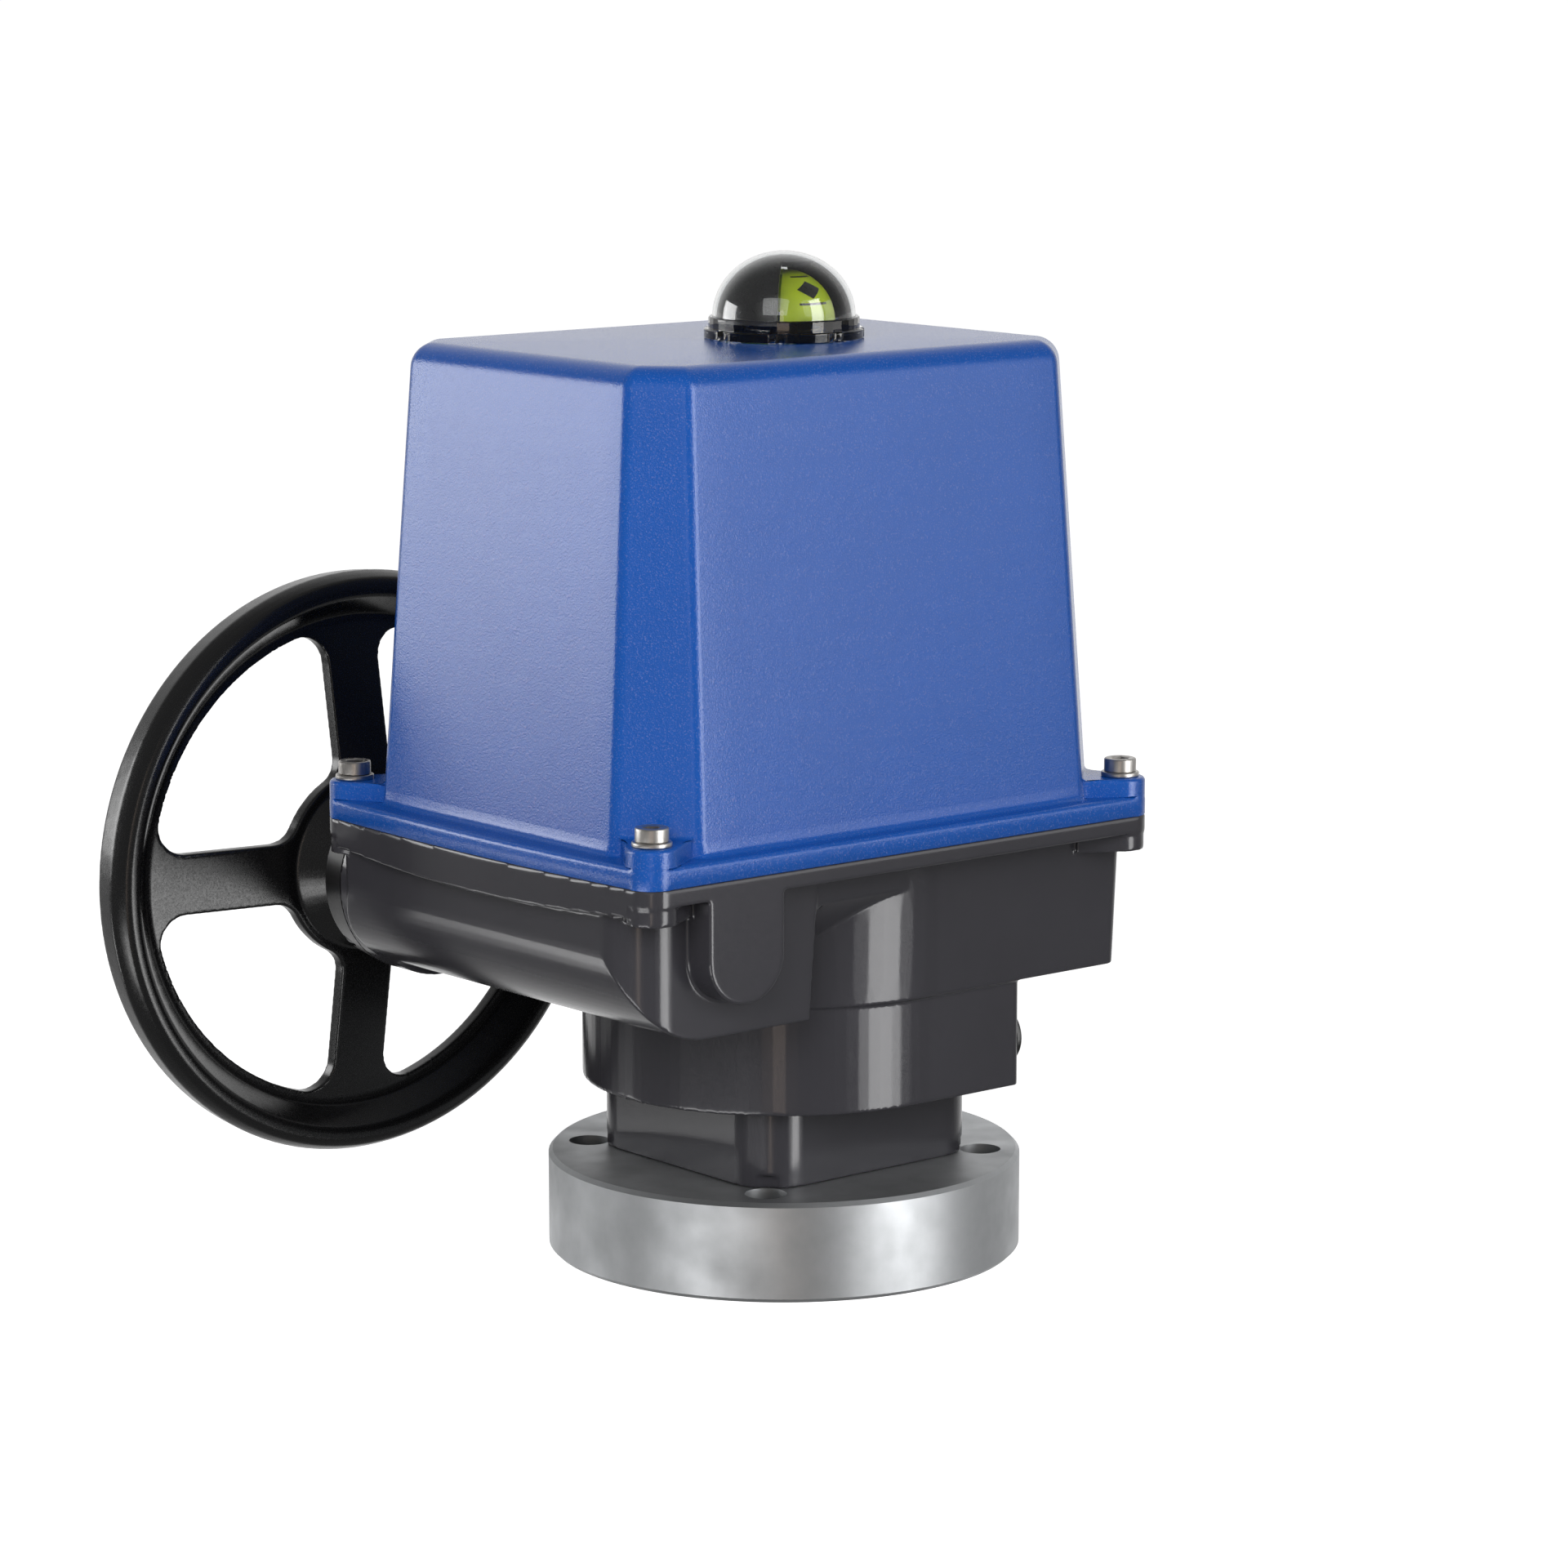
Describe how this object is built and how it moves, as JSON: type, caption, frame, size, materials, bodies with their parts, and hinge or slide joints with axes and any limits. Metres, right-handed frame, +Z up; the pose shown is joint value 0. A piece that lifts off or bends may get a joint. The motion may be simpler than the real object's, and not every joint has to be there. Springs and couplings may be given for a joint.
{
  "type": "electric valve actuator",
  "caption": "Electric quarter-turn valve actuator: gear housing on a round flange, tall chamfered cover, clear domed position indicator and a side handwheel.",
  "frame": {"origin": "on the output shaft's axis, in the plane of the mounting flange's lower face", "axes": "+Z up along the output axis, the worm shaft and handwheel axis along +Y on the -X side, the handwheel towards +Y"},
  "size_m": [0.2611, 0.2094, 0.3154],
  "materials": {
    "machined_steel": "fine turned, satin",
    "dark_screws": "blackened",
    "housing_coat": "semi-gloss powder coat on cast aluminium",
    "cover_coat": "fine textured semi-gloss powder coat",
    "plate_aluminium": "milled",
    "zinc_screws": "zinc plated",
    "stainless": "plain stainless steel",
    "gasket_rubber": "matt",
    "clear_dome": "clear polycarbonate",
    "black_plastic": "fine grained",
    "bronze": "machined bronze",
    "bearing_steel": "ground",
    "black_coat": "semi-gloss",
    "motor_coat": "satin",
    "board_green": "solder resist",
    "terminal_green": "moulded",
    "relay_blue": "moulded",
    "plug_red": "moulded",
    "shaft_steel": "ground and hobbed",
    "brass": "turned",
    "cam_red": "moulded",
    "indicator_black": "moulded",
    "indicator_yellow": "moulded",
    "wheel_coat": "glossy powder coat on cast aluminium"
  },
  "bodies": {
    "actuator_body": {"base_flange": "machined_steel", "flange_screws": "dark_screws", "gear_housing": "housing_coat", "gearbox_plate": "plate_aluminium", "plate_screws": "zinc_screws", "housing_cover": "cover_coat", "cover_screws": "stainless", "cover_washers": "stainless", "cover_gasket": "gasket_rubber", "indicator_dome": "clear_dome", "dome_seal": "gasket_rubber", "dome_nut": "black_plastic", "stop_screws": "zinc_screws", "stop_plugs": "black_plastic", "neck_bush": "bronze", "plate_bush": "bronze", "shaft_seal": "gasket_rubber", "thrust_washer": "bronze", "worm_bearings": "bearing_steel", "worm_end_cap": "black_coat", "end_cap_screws": "dark_screws", "worm_seal": "gasket_rubber", "gear_bracket": "plate_aluminium", "bracket_screws": "zinc_screws", "idler_pin": "bearing_steel", "motor_gearhead": "plate_aluminium", "motor_body": "motor_coat", "switch_bracket": "zinc_screws", "limit_switches": "black_plastic", "control_board": "board_green", "board_standoffs": "brass", "terminal_blocks": "terminal_green", "relays": "relay_blue", "capacitor": "plate_aluminium", "heater": "brass", "cable_glands": "black_plastic", "gland_nuts": "black_plastic", "gland_plugs": "plug_red"},
    "output_drive": {"output_shaft": "shaft_steel", "worm_wheel": "bronze", "wheel_key": "shaft_steel", "stop_sector": "shaft_steel", "sector_key": "shaft_steel", "retaining_ring": "bearing_steel", "indicator_shaft": "shaft_steel", "switch_cams": "cam_red", "indicator_black": "indicator_black", "indicator_yellow": "indicator_yellow"},
    "worm_drive": {"worm_shaft": "shaft_steel", "worm": "shaft_steel", "worm_key": "shaft_steel", "worm_gear": "shaft_steel", "handwheel": "wheel_coat", "handwheel_key": "shaft_steel", "handwheel_washer": "stainless", "handwheel_screw": "stainless"},
    "idler": {"idler_gear": "shaft_steel"},
    "motor_rotor": {"motor_pinion": "shaft_steel"}
  },
  "joints": [
    {"name": "worm_turn", "type": "hinge", "parent": "actuator_body", "child": "worm_drive", "pos_m": [-0.07835, 0, 0.1152], "axis": [0, 1, 0], "range_deg": [0, 5400]},
    {"name": "output_turn", "type": "hinge", "parent": "actuator_body", "child": "output_drive", "pos_m": [0, 0, 0], "axis": [0, 0, 1], "range_deg": [0, 90]},
    {"name": "idler_turn", "type": "hinge", "parent": "actuator_body", "child": "idler", "pos_m": [-0.06635, 0, 0.15753], "axis": [0, 1, 0], "range_deg": [-4104, 0]},
    {"name": "rotor_turn", "type": "hinge", "parent": "actuator_body", "child": "motor_rotor", "pos_m": [-0.03635, 0, 0.16867], "axis": [0, 1, 0], "range_deg": [0, 14658]}
  ],
  "couplings": [
    {"joint": "output_turn", "follows": "worm_turn", "ratio": 0.016667},
    {"joint": "idler_turn", "follows": "worm_turn", "ratio": -0.76},
    {"joint": "rotor_turn", "follows": "worm_turn", "ratio": 2.7143}
  ]
}
